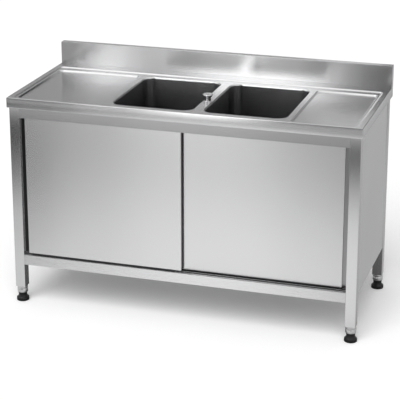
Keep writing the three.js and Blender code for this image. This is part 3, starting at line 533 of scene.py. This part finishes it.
make_worktop()
for side in SIDES:
    make_tray(side)
    make_bowl(side)
make_tap_cap()
for corner in CORNERS:
    make_sleeve(corner)
    make_foot(corner)
    dressed("leg_" + corner, **FOLDS["leg"])
dressed("upstand", **FOLDS["upstand"])
for node in ("top_rail_front", "top_rail_rear", "top_rail_left", "top_rail_right",
             "bottom_rail_front", "bottom_rail_rear", "side_panel_left", "side_panel_right"):
    dressed(node, **FOLDS["panel"])
for side in SIDES:
    dressed("door_skin_" + side, second=grip_shade_faces(side), **FOLDS["panel"])
# The lower guide's front faces are painted black as the shadow under the doors
dressed("lower_guide", second=lambda centre, normal: normal.y < -FACING, **FOLDS["fitting"])
for node in ("back_panel", "bottom_shelf", "shelf_stiffener", "top_stiffener_left",
             "top_stiffener_right", "upper_track", "tap_hole_nut"):
    dressed(node, **FOLDS["inside"])
for node in ("cross_pipe", "drain_tee", "bottle_trap", "outlet_pipe"):
    dressed(node, **FOLDS["pipe"])
for side in SIDES:
    dressed("waste_seat_" + side, **FOLDS["fitting"])
    dressed("overflow_pipe_" + side, **FOLDS["fitting"])
    dressed("guide_shoe_" + side, **FOLDS["bracket"])
    for place in ("outer", "inner"):
        dressed(f"hanger_{side}_{place}", **FOLDS["bracket"])
        dressed(f"roller_{side}_{place}", **FOLDS["roller"])


# ---------------------------------------------------------------- materials

# Noise stays mostly between these two values
NOISE_LOW = 0.3
NOISE_HIGH = 0.7

# Steel: fine noise drawn out along the grain, and broad noise; their shares of the tone; how far
# the roughness follows the streaks; height of the grain in metres
FINE = dict(scale=14.0, detail=4.0, roughness=0.6)
BROAD = dict(scale=3.0, detail=2.0, roughness=0.5)
FINE_SHARE = 0.65
BROAD_SHARE = 0.35
ROUGH_SPREAD = 2.5
GRAIN_HEIGHT = 0.00004
# The grain leans a little from its axis, so that the direction across it is defined on every face
GRAIN = {"X": (1.0, 0.03, 0.02), "Y": (0.03, 1.0, 0.02), "Z": (0.03, 0.02, 1.0),
         "round": (0.1, 0.05, 1.0)}
# Scale of the fine noise by axis: small along the grain, large across it
STRETCH = {"X": (1, 90, 90), "Y": (90, 1, 90), "Z": (90, 90, 1), "round": (8, 8, 90)}
# Painted shade, which darkens the tone with depth: its values at the lower and the upper height,
# and the noise's share
DEPTH_TONES = (0.27, 0.67)
DEPTH_NOISE = 0.06

# Plastic: fine grain, broad noise, height of the grain in metres, how far the roughness spreads to
# either side, and the strength of its gloss
PLASTIC_GRAIN = dict(detail=3.0)
PLASTIC_BROAD = dict(scale=22.0, detail=3.0)
PLASTIC_HEIGHT = 0.0001
PLASTIC_SPREAD = 0.15
PLASTIC_SPECULAR = 0.3


def bare_tree(owner):
    owner.use_nodes = True
    owner.node_tree.nodes.clear()
    return owner.node_tree


def noise(tree, coords, scale, detail, roughness=0.55, stretch=(1, 1, 1)):
    mapping = tree.nodes.new("ShaderNodeMapping")
    mapping.inputs["Scale"].default_value = stretch
    tree.links.new(coords, mapping.inputs["Vector"])
    tex = tree.nodes.new("ShaderNodeTexNoise")
    tex.inputs["Scale"].default_value = scale
    tex.inputs["Detail"].default_value = detail
    tex.inputs["Roughness"].default_value = roughness
    tree.links.new(mapping.outputs[0], tex.inputs["Vector"])
    return tex.outputs["Fac"]


def remap(tree, value, a, b, low=NOISE_LOW, high=NOISE_HIGH):
    node = tree.nodes.new("ShaderNodeMapRange")
    node.inputs["From Min"].default_value = low
    node.inputs["From Max"].default_value = high
    node.inputs["To Min"].default_value = a
    node.inputs["To Max"].default_value = b
    tree.links.new(value, node.inputs["Value"])
    return node.outputs["Result"]


def scaled_sum(tree, value, share, added):
    """value * share + added"""
    node = tree.nodes.new("ShaderNodeMath")
    node.operation = "MULTIPLY_ADD"
    tree.links.new(value, node.inputs[0])
    node.inputs[1].default_value = share
    tree.links.new(added, node.inputs[2])
    return node.outputs[0]


def tint(tree, value, dark, light):
    ramp = tree.nodes.new("ShaderNodeValToRGB")
    ramp.color_ramp.elements[0].position = NOISE_LOW
    ramp.color_ramp.elements[0].color = (*dark, 1)
    ramp.color_ramp.elements[1].position = NOISE_HIGH
    ramp.color_ramp.elements[1].color = (*light, 1)
    tree.links.new(value, ramp.inputs["Fac"])
    return ramp.outputs["Color"]


def bumped(tree, shader, height, strength, distance):
    node = tree.nodes.new("ShaderNodeBump")
    node.inputs["Strength"].default_value = strength
    node.inputs["Distance"].default_value = distance
    tree.links.new(height, node.inputs["Height"])
    tree.links.new(node.outputs[0], shader.inputs["Normal"])


def surface(name):
    """A new material with its tree, its shader, and the coordinates of the piece."""
    mat = bpy.data.materials.new(name)
    tree = bare_tree(mat)
    out = tree.nodes.new("ShaderNodeOutputMaterial")
    shader = tree.nodes.new("ShaderNodeBsdfPrincipled")
    tree.links.new(shader.outputs[0], out.inputs[0])
    return mat, tree, shader, tree.nodes.new("ShaderNodeTexCoord").outputs["Object"]


def brushed(name, grey, rough, grain="X", aniso=0.9, streak=0.03, bump=0.015, depth=None):
    """Brushed stainless steel, with its grain along one axis of the shared frame or round a bowl.

    The last argument paints shade: the colour darkens towards the bottom between two heights in
    metres, down to the share that is left at the lower one."""
    mat, tree, shader, coords = surface(name)
    fine = noise(tree, coords, **FINE, stretch=STRETCH[grain])
    broad = noise(tree, coords, **BROAD)
    tone = scaled_sum(tree, broad, BROAD_SHARE, remap(tree, fine, 0.0, FINE_SHARE, 0.0, 1.0))
    dark = [g * (1 - streak) for g in grey]
    light = [min(1.0, g * (1 + streak)) for g in grey]
    # Painted shade: the colour darkens towards the lower height
    if depth:
        low, high, left = depth
        split = tree.nodes.new("ShaderNodeSeparateXYZ")
        tree.links.new(coords, split.inputs[0])
        level = remap(tree, split.outputs["Z"], *DEPTH_TONES, low, high)
        tone = scaled_sum(tree, tone, DEPTH_NOISE, level)
        dark = [g * left for g in grey]
    tree.links.new(tint(tree, tone, dark, light), shader.inputs["Base Color"])
    spread = ROUGH_SPREAD * streak
    roughness = remap(tree, fine, rough * (1 - spread), rough * (1 + spread))
    tree.links.new(roughness, shader.inputs["Roughness"])
    shader.inputs["Metallic"].default_value = 1.0
    shader.inputs["Anisotropic"].default_value = aniso
    axis = tree.nodes.new("ShaderNodeCombineXYZ")
    for socket, value in zip(axis.inputs, GRAIN[grain]):
        socket.default_value = value
    tangent = axis.outputs[0]
    if grain != "round":
        across = tree.nodes.new("ShaderNodeVectorMath")
        across.operation = "CROSS_PRODUCT"
        normal = tree.nodes.new("ShaderNodeNewGeometry").outputs["Normal"]
        tree.links.new(normal, across.inputs[0])
        tree.links.new(axis.outputs[0], across.inputs[1])
        tangent = across.outputs[0]
    tree.links.new(tangent, shader.inputs["Tangent"])
    bumped(tree, shader, fine, bump, GRAIN_HEIGHT)
    return mat


def plastic(name, dark, light, rough, grain_scale=350.0, bump=0.25):
    mat, tree, shader, coords = surface(name)
    fine = noise(tree, coords, grain_scale, **PLASTIC_GRAIN)
    broad = noise(tree, coords, **PLASTIC_BROAD)
    tree.links.new(tint(tree, broad, dark, light), shader.inputs["Base Color"])
    roughness = remap(tree, fine, rough * (1 - PLASTIC_SPREAD), rough * (1 + PLASTIC_SPREAD))
    tree.links.new(roughness, shader.inputs["Roughness"])
    bumped(tree, shader, fine, bump, PLASTIC_HEIGHT)
    shader.inputs["Specular IOR Level"].default_value = PLASTIC_SPECULAR
    return mat


STEEL = (0.70, 0.70, 0.705)
# A darker grey: for the parts inside the cabinet, and on the bowls as painted shade
INNER = (0.56, 0.56, 0.565)
# Colour, roughness, grain, anisotropy, streaks, bump, and the painted shade that darkens with depth
STEELS = {
    "worktop_steel": (STEEL, 0.16, "X", 1.0, 0.02, 0.008),
    # The bowls' darker grey and the fall of their colour towards the bottom are painted shade
    "bowl_steel": (INNER, 0.22, "round", 0.8, 0.03, 0.015, (0.68, 0.85, 0.36)),
    # Painted shade in the doors' grip channels and on the faces between the doors: dark grey on the
    # right door, black on the left
    "grip_shade_steel": ((0.34, 0.34, 0.345), 0.30, "Z", 0.3),
    "grip_shade_black": ((0.030, 0.030, 0.031), 0.30, "Z", 0.3),
    # The lower guide's darker steel is painted shade under the doors
    "guide_shade_steel": ((0.45, 0.45, 0.455), 0.26, "X", 0.6),
    # The front top rail's darker grey is painted shade under the worktop's edge; its lower
    # roughness is its own
    "rail_shade_steel": ((0.58, 0.58, 0.585), 0.15, "X", 0.85, 0.02, 0.006),
    "upstand_steel": (STEEL, 0.20, "X", 1.0, 0.02, 0.03),
    "frame_steel": (STEEL, 0.28, "X", 0.95, 0.02, 0.006),
    "leg_steel": (STEEL, 0.20, "Z", 0.9, 0.02, 0.006),
    "panel_steel": (STEEL, 0.34, "Y", 0.6),
    "door_steel": (STEEL, 0.21, "X", 0.9, 0.015, 0.004),
    "inner_steel": (INNER, 0.42, "X", 0.3),
    "track_steel": (INNER, 0.32, "X", 0.5),
    "bracket_steel": (INNER, 0.32, "Z", 0.2),
    "sleeve_steel": ((0.64, 0.64, 0.645), 0.30, "Z", 0.3),
    "bright_chrome": ((0.86, 0.86, 0.87), 0.20, "Z", 0.0, 0.02, 0.02),
}
# Dark and light colour, roughness, scale of the grain, bump
PLASTICS = {
    "black_plastic": ((0.010, 0.010, 0.011), (0.018, 0.018, 0.019), 0.30),
    "grey_plastic": ((0.62, 0.62, 0.60), (0.70, 0.70, 0.68), 0.4, 120.0, 0.1),
    "white_nylon": ((0.70, 0.69, 0.65), (0.78, 0.77, 0.73), 0.45, 200.0, 0.1),
    "core_board": ((0.42, 0.31, 0.20), (0.52, 0.40, 0.27), 0.8, 150.0, 0.5),
}
MATERIALS = {name: brushed(name, *look) for name, look in STEELS.items()}
MATERIALS.update({name: plastic(name, *look) for name, look in PLASTICS.items()})

# Finishes that differ from the node's slot, among them darker steels as painted shade, and the
# painted shade on the faces picked in dressed()
OWN_FINISH_AND_SHADE = {"upstand": "upstand_steel", "top_rail_front": "rail_shade_steel",
              "lower_guide": "guide_shade_steel"}
OWN_FINISH_AND_SHADE.update(("leg_" + corner, "leg_steel") for corner in CORNERS)
PAINTED_SHADE_FINISH = {"door_skin_left": "grip_shade_black", "door_skin_right": "grip_shade_steel",
                 "lower_guide": "black_plastic"}


def paint(obj, *finishes):
    """The faces keep their number among the finishes."""
    numbers = [face.material_index for face in obj.data.polygons]
    obj.data.materials.clear()
    for finish in finishes:
        obj.data.materials.append(MATERIALS[finish])
    for face, number in zip(obj.data.polygons, numbers):
        face.material_index = min(number, len(finishes) - 1)


def finish_of(node):
    return OWN_FINISH_AND_SHADE.get(node, SLOT_OF[node])


for node_name, node in NODES.items():
    paint(node, finish_of(node_name))
for obj, first in PIECES:
    second = [PAINTED_SHADE_FINISH[first]] if first in PAINTED_SHADE_FINISH else []
    paint(obj, finish_of(first), *second)


# ---------------------------------------------------------------- floor, background and light

WORLD_LEVEL = 0.42
SUN_LEVEL = 0.58
SUN_HEIGHT = 52.0
SUN_SPREAD = 50.0
FLOOR_ALBEDO = 0.92
FLOOR_GLOW = 0.12
FLOOR_HALF = 9.0
FLOOR_DROP = 0.0005  # the floor lies this far below the feet, so that no two faces share a plane


def light_path_mix(tree, plain, shown, output):
    """Camera, glossy and transmission rays see one shader, all others another."""
    path = tree.nodes.new("ShaderNodeLightPath")
    seen = path.outputs["Is Camera Ray"]
    for kind in ("Is Glossy Ray", "Is Transmission Ray"):
        either = tree.nodes.new("ShaderNodeMath")
        either.operation = "MAXIMUM"
        tree.links.new(seen, either.inputs[0])
        tree.links.new(path.outputs[kind], either.inputs[1])
        seen = either.outputs[0]
    mix = tree.nodes.new("ShaderNodeMixShader")
    tree.links.new(seen, mix.inputs[0])
    tree.links.new(plain, mix.inputs[1])
    tree.links.new(shown, mix.inputs[2])
    tree.links.new(mix.outputs[0], output)


half = FLOOR_HALF
corners = [(-half, -half, 0), (half, -half, 0), (half, half, 0), (-half, half, 0)]
floor = mesh_object("floor", corners, [(0, 1, 2, 3)])
floor.location.z = -FLOOR_DROP
mat = bpy.data.materials.new("floor")
tree = bare_tree(mat)
out = tree.nodes.new("ShaderNodeOutputMaterial")
matt = tree.nodes.new("ShaderNodeBsdfDiffuse")
matt.inputs[0].default_value = (FLOOR_ALBEDO, FLOOR_ALBEDO, FLOOR_ALBEDO, 1)
glow = tree.nodes.new("ShaderNodeEmission")
glow.inputs["Strength"].default_value = FLOOR_GLOW
lifted = tree.nodes.new("ShaderNodeAddShader")
tree.links.new(matt.outputs[0], lifted.inputs[0])
tree.links.new(glow.outputs[0], lifted.inputs[1])
light_path_mix(tree, matt.outputs[0], lifted.outputs[0], out.inputs[0])
floor.data.materials.append(mat)

world = bpy.data.worlds.new("studio")
bpy.context.scene.world = world
tree = bare_tree(world)
out = tree.nodes.new("ShaderNodeOutputWorld")
plain = tree.nodes.new("ShaderNodeBackground")
plain.inputs[0].default_value = (WORLD_LEVEL, WORLD_LEVEL, WORLD_LEVEL, 1)
white = tree.nodes.new("ShaderNodeBackground")
white.inputs[0].default_value = (1, 1, 1, 1)
light_path_mix(tree, plain.outputs[0], white.outputs[0], out.inputs[0])

sun_data = bpy.data.lights.new("front_light", "SUN")
sun_data.energy = SUN_LEVEL * math.pi / math.sin(math.radians(SUN_HEIGHT))
sun_data.angle = math.radians(SUN_SPREAD)
sun = linked(bpy.data.objects.new("front_light", sun_data))
sun.rotation_euler = (math.radians(90 - SUN_HEIGHT), 0, 0)
sun.visible_glossy = False


# ---------------------------------------------------------------- studio cards

# The cards are seen only in reflections and light nothing. Lengths are in metres, and azimuths in
# degrees from straight ahead of the doors towards the left. A table gives places, each with the
# brightness there or with a share of it
CARD_RADIUS = 9.0
CARD_HEIGHT = 8.0
FULL_TURN = 360

# Front card: by azimuth above BAND_FOOT, by azimuth below it, and by height
FRONT_SPAN = (-70, 95)
FRONT_STEPS = (2, 4)  # points in a degree, and in a metre of height
FRONT_BANDS = [
    (-70, 1.0), (-30, 0.9), (-12, 0.2), (3.5, 0.0), (8.4, 0.01), (9.3, 0.5), (10.3, 1.4),
    (11.2, 2.0), (12.5, 2.4), (15.0, 2.5), (16.2, 2.4), (17.8, 2.4), (19.2, 1.1), (20.5, 0.45),
    (22.0, 0.2), (22.6, 0.2), (23.2, 0.7), (24.0, 2.6), (24.8, 3.4), (25.6, 3.2), (26.0, 0.4),
    (26.5, 0.0), (31.0, 0.0), (38.0, 0.0), (46, 0.9), (60, 1.3), (95, 1.0)]
FRONT_BASE = [
    (-70, 0.8), (-20, 0.5), (2, 0.1), (8.0, 0.2), (10, 0.7), (11.5, 1.3), (13, 1.9), (16, 2.0),
    (19, 1.4), (22, 0.5), (25, 0.3), (27, 0.03), (36, 0.05), (50, 0.5), (95, 0.7)]
BAND_FOOT = [(0.8, 0.0), (2.2, 1.0)]
FRONT_RISE = [(5.0, 1.0), (8.0, 0.8)]

# Back card: by height, by azimuth, a dark spot (azimuth, height, half width, half height) and a
# glint (azimuth, half width, top, level)
BACK_SPAN = (95, 290)
BACK_STEPS = (1, 2)
BACK_RISE = [
    (0.0, 0.80), (2.8, 0.64), (3.6, 0.46), (4.4, 0.12), (5.6, 0.10), (6.6, 0.60), (8.0, 1.1)]
BACK_ROUND = [
    (95, 0.8), (150, 0.72), (163, 0.92), (169, 0.82), (171, 1.6), (173.5, 1.6), (175.5, 0.05),
    (204, 0.08), (225, 1.2), (250, 1.0), (290, 0.8)]
BACK_SPOT = (131, 6.4, 9, 1.0)
BACK_GLINT = (202, 8, 3.0, 1.8)

# Floor card: rings that grow by a factor from the first one
FLOOR_CARD_UP = 0.002
FLOOR_FIRST = 0.2
FLOOR_GROWTH = 1.05
FLOOR_RINGS = 79
FLOOR_TURN = 3  # degrees between points
# Near part: by distance ahead of the doors' plane, and by the place on the doors that mirrors the
# spot, which counts as much as FLOOR_SHADE says. Slant and reach are those of the line of sight
DOOR_PLANE = 0.29
FLOOR_AHEAD = [
    (0.2, 0.92), (0.7, 0.96), (1.2, 0.92), (1.6, 0.66), (1.9, 0.34), (2.2, 0.06), (2.4, 0.02)]
FLOOR_ACROSS = [
    (-0.9, 0.05), (-0.65, 0.22), (-0.4, 0.75), (-0.05, 1.08), (0.3, 1.15), (0.5, 1.0), (0.7, 0.8)]
FLOOR_SHADE = [(0.3, 0.2), (0.8, 0.4), (1.5, 0.9), (2.3, 1.0), (2.6, 0.3)]
MIRROR_SLANT = 0.324
MIRROR_REACH = 5.12
# Far part: from the distances in FLOOR_FAR on, by azimuth, and farther out as the front card's base
FLOOR_FAR = [(2.5, 0.0), (2.6, 0.5), (2.8, 1.0)]
FLOOR_FAR_ACROSS = [(2, 1.1), (12, 1.1), (22, 1.3), (30, 1.3), (38, 1.0), (45, 0.8)]
FLOOR_FARTHEST = [(3.2, 0.0), (4.6, 1.0)]
FARTHEST_SHARE = 0.8
# The front is this far round from its middle; elsewhere there is one level, and under the unit
# (half width, half depth, soft edge) a dark one
FRONT_MIDDLE = 15
FRONT_SIDES = [(60, 1.0), (100, 0.0)]
FLOOR_BEHIND = 0.5
FOOTPRINT = (0.72, 0.32, 0.08)
UNDER_LEVEL = 0.10

# Top card: by distance from its middle, by x, a dark spot (x, y, radius) and a glint (x, y,
# radius, level)
TOP_RINGS = 37
TOP_TURN = 4  # degrees between points
TOP_OUT = [(0.0, 0.9), (3.0, 1.0), (6.0, 1.1), (9.0, 0.9)]
TOP_ACROSS = [(-2.6, 1.3), (-1.4, 1.2), (-0.2, 0.9)]
TOP_SPOT = (1.7, 3.4, 1.4)
TOP_GLINT = (-2.3, -2.0, 1.4, 3.2)


def along(x, points):
    """A value between (x, value) points, eased."""
    if x <= points[0][0]:
        return points[0][1]
    for (xa, a), (xb, b) in zip(points, points[1:]):
        if x <= xb:
            return a + (b - a) * eased((x - xa) / (xb - xa))
    return points[-1][1]


def card(name, grid, level_at):
    """A sheet that glows by its level from point to point. grid: rows of points."""
    across = len(grid[0])
    verts = [p for row in grid for p in row]
    faces = []
    for r in range(len(grid) - 1):
        for c in range(across - 1):
            a = r * across + c
            faces.append((a, a + 1, a + across + 1, a + across))
    obj = mesh_object(name, verts, faces)
    level = obj.data.attributes.new("level", "FLOAT", "POINT")
    for i, p in enumerate(verts):
        level.data[i].value = level_at(*p)
    mat = bpy.data.materials.new(name)
    tree = bare_tree(mat)
    out = tree.nodes.new("ShaderNodeOutputMaterial")
    light = tree.nodes.new("ShaderNodeEmission")
    values = tree.nodes.new("ShaderNodeAttribute")
    values.attribute_name = "level"
    tree.links.new(values.outputs["Fac"], light.inputs["Strength"])
    tree.links.new(light.outputs[0], out.inputs[0])
    obj.data.materials.append(mat)
    mat.cycles.emission_sampling = "NONE"
    obj.visible_camera = False
    obj.visible_diffuse = False
    obj.visible_shadow = False
    return obj


def polar(radius, degrees, z):
    a = math.radians(degrees)
    return (-radius * math.sin(a), -radius * math.cos(a), z)


def azimuth(x, y):
    return math.degrees(math.atan2(-x, -y))


def wall_grid(span, steps):
    """Rows of points of an upright card between two azimuths."""
    turns = [i / steps[0] for i in range(span[0] * steps[0], span[1] * steps[0] + 1)]
    return [[polar(CARD_RADIUS, d, i / steps[1]) for d in turns]
            for i in range(int(CARD_HEIGHT) * steps[1] + 1)]


def wall_level(x, y, z):
    a = azimuth(x, y)
    share = along(z, BAND_FOOT)
    level = along(a, FRONT_BANDS) * share + along(a, FRONT_BASE) * (1 - share)
    return level * along(z, FRONT_RISE)


def back_level(x, y, z):
    a = azimuth(x, y) % FULL_TURN
    spot_a, spot_z, spot_width, spot_height = BACK_SPOT
    spot = math.hypot((a - spot_a) / spot_width, (z - spot_z) / spot_height)
    glint_a, glint_width, glint_top, glint_level = BACK_GLINT
    glint = glint_level * eased(max(1 - abs(a - glint_a) / glint_width, 0)) if z < glint_top else 0
    return along(z, BACK_RISE) * along(a, BACK_ROUND) * eased(min(spot, 1)) + glint


def floor_level(x, y, z):
    a = azimuth(x, y)
    ahead = -y - DOOR_PLANE
    mirrored = (x + MIRROR_SLANT * ahead) / (1 + max(ahead, 0) / MIRROR_REACH)
    across = 1 + (along(mirrored, FLOOR_ACROSS) - 1) * along(ahead, FLOOR_SHADE)
    near = along(ahead, FLOOR_AHEAD) * across
    farthest = along(ahead, FLOOR_FARTHEST)
    beyond = along(a, FLOOR_FAR_ACROSS) * (1 - farthest)
    beyond += FARTHEST_SHARE * along(a, FRONT_BASE) * farthest
    far = along(ahead, FLOOR_FAR)
    front = near * (1 - far) + beyond * far
    facing = along(abs(a - FRONT_MIDDLE), FRONT_SIDES)
    level = FLOOR_BEHIND * (1 - facing) + front * facing
    outside = max(abs(x) - FOOTPRINT[0], abs(y) - FOOTPRINT[1]) / FOOTPRINT[2]
    return UNDER_LEVEL + (level - UNDER_LEVEL) * eased(min(max(outside + 0.5, 0), 1))


def top_level(x, y, z):
    spot = math.hypot(x - TOP_SPOT[0], y - TOP_SPOT[1]) / TOP_SPOT[2]
    glint = math.hypot(x - TOP_GLINT[0], y - TOP_GLINT[1]) / TOP_GLINT[2]
    level = along(math.hypot(x, y), TOP_OUT) * along(x, TOP_ACROSS) * eased(min(spot, 1))
    return level + TOP_GLINT[3] * eased(max(1 - glint, 0))


card("front_card", wall_grid(FRONT_SPAN, FRONT_STEPS), wall_level)
card("back_card", wall_grid(BACK_SPAN, BACK_STEPS), back_level)
ground = [[polar(FLOOR_FIRST * FLOOR_GROWTH ** k, d, FLOOR_CARD_UP)
           for d in range(0, FULL_TURN + 1, FLOOR_TURN)] for k in range(FLOOR_RINGS)]
card("floor_card", ground, floor_level)
top = [[polar(CARD_RADIUS * k / (TOP_RINGS - 1), d, CARD_HEIGHT)
        for d in range(0, FULL_TURN + 1, TOP_TURN)] for k in range(TOP_RINGS)]
card("top_card", top, top_level)


# ---------------------------------------------------------------- camera

CAMERA_PLACE = (1.6613, -5.4111, 2.4249)
CAMERA_PITCH = 0.3033
CAMERA_YAW = 0.2993
FOCAL_PIXELS = 1501.5111
PICTURE_WIDTH = 400
SENSOR = 36
FRAME_SHIFT = -0.15
VIEW_END = 100

cam_data = bpy.data.cameras.new("camera")
cam = linked(bpy.data.objects.new("camera", cam_data))
cam.location = CAMERA_PLACE
cam.rotation_euler = (math.pi / 2 - CAMERA_PITCH, 0, CAMERA_YAW)
cam_data.sensor_width = SENSOR
cam_data.lens = FOCAL_PIXELS / PICTURE_WIDTH * SENSOR
cam_data.shift_y = FRAME_SHIFT
cam_data.clip_end = VIEW_END
bpy.context.scene.camera = cam
bpy.context.scene.view_settings.view_transform = "Standard"
